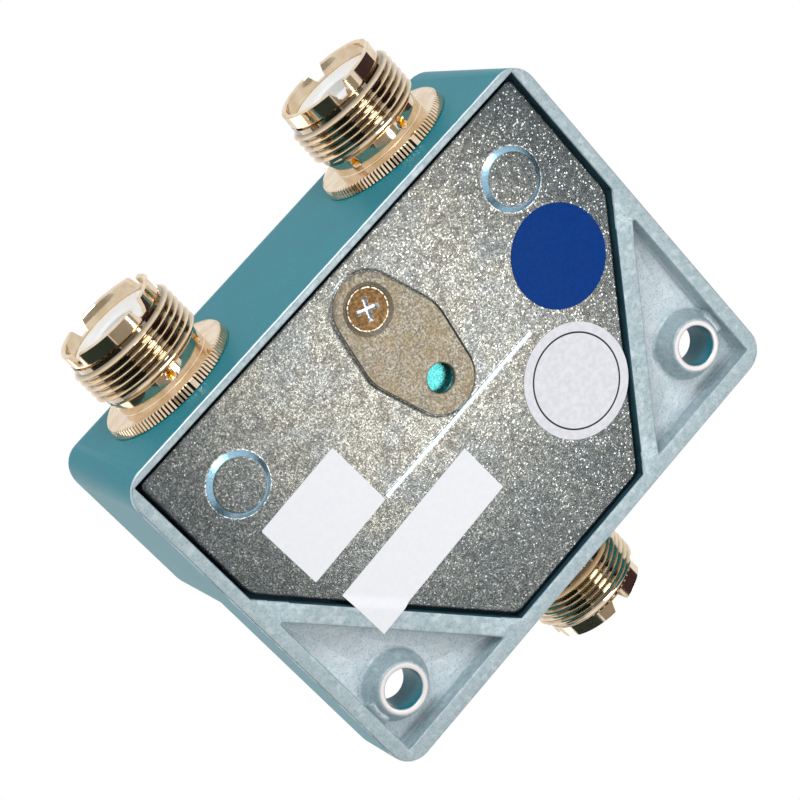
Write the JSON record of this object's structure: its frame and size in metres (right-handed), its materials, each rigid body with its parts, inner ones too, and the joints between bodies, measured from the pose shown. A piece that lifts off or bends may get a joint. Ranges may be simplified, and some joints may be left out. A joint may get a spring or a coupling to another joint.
{
  "type": "coaxial antenna switch",
  "caption": "Rotary coaxial switch in a painted die-cast housing with threaded coaxial sockets, a common one opposite the selectable ones, and a pointer knob.",
  "frame": {"origin": "centre of the back rim, on the plane that the switch rests on or is screwed against", "axes": "+Z out of the front along the knob's shaft, +Y towards the two antenna sockets, +X to the right seen from the front"},
  "size_m": [0.073, 0.0778, 0.043],
  "materials": {
    "painted_casting": "satin teal spray paint over cast zinc, bare metal on the back rim and in the ear pockets",
    "blasted_zinc": "bare die-cast zinc with a fine sparkling grain",
    "warm_plated_steel": "satin stamped plate with a warm passivated tint",
    "bronzed_steel": "yellow-brown passivated steel",
    "black_plate": "satin black",
    "nickel": "polished warm nickel plating",
    "white_ptfe": "smooth turned fluoropolymer",
    "silvered_brass": "silver-plated brass",
    "spring_bronze": "rolled phosphor bronze",
    "plain_brass": "turned brass",
    "zinc_steel": "bright zinc-plated steel",
    "bright_steel": "bright spring and bearing steel",
    "black_steel": "black oxide",
    "white_acetal": "moulded acetal",
    "black_plastic": "satin black moulding",
    "white_paint": "white filled line",
    "blue_film": "glossy blue sticker",
    "white_film": "white sticker"
  },
  "bodies": {
    "housing": {"body_casting": "painted_casting", "cover_plate": "blasted_zinc", "oval_plate": "warm_plated_steel", "cover_screw": "bronzed_steel", "front_plate": "black_plate", "antenna_1_shell": "nickel", "antenna_1_insulator": "white_ptfe", "antenna_1_pin_socket": "silvered_brass", "antenna_1_strip": "silvered_brass", "antenna_2_shell": "nickel", "antenna_2_insulator": "white_ptfe", "antenna_2_pin_socket": "silvered_brass", "antenna_2_strip": "silvered_brass", "common_shell": "nickel", "common_insulator": "white_ptfe", "common_pin_socket": "silvered_brass", "common_strip": "silvered_brass", "ground_spring": "spring_bronze", "ground_spring_screw": "zinc_steel", "shaft_bushing": "plain_brass", "bushing_washer": "zinc_steel", "bushing_nut": "nickel", "detent_spring": "bright_steel", "blue_label": "blue_film", "round_label": "white_film", "wide_label": "white_film", "long_label": "white_film"},
    "rotor": {"shaft": "zinc_steel", "shaft_clip": "black_steel", "rotor_hub": "white_acetal", "signal_blade": "silvered_brass", "blade_rivet": "plain_brass", "ground_blade": "spring_bronze", "detent_plate": "zinc_steel", "knob": "black_plastic", "knob_pointer": "white_paint", "knob_set_screw": "black_steel"},
    "ball": {"detent_ball": "bright_steel"}
  },
  "joints": [
    {"name": "knob_turn", "type": "hinge", "parent": "housing", "child": "rotor", "pos_m": [0, 0.003, 0.03], "axis": [0, 0, 1], "range_deg": [-90, 0]},
    {"name": "detent_click", "type": "slide", "parent": "housing", "child": "ball", "axis": [0, 0, 1], "range_m": [-0.0003, 0], "deforming": ["detent_spring"]}
  ]
}
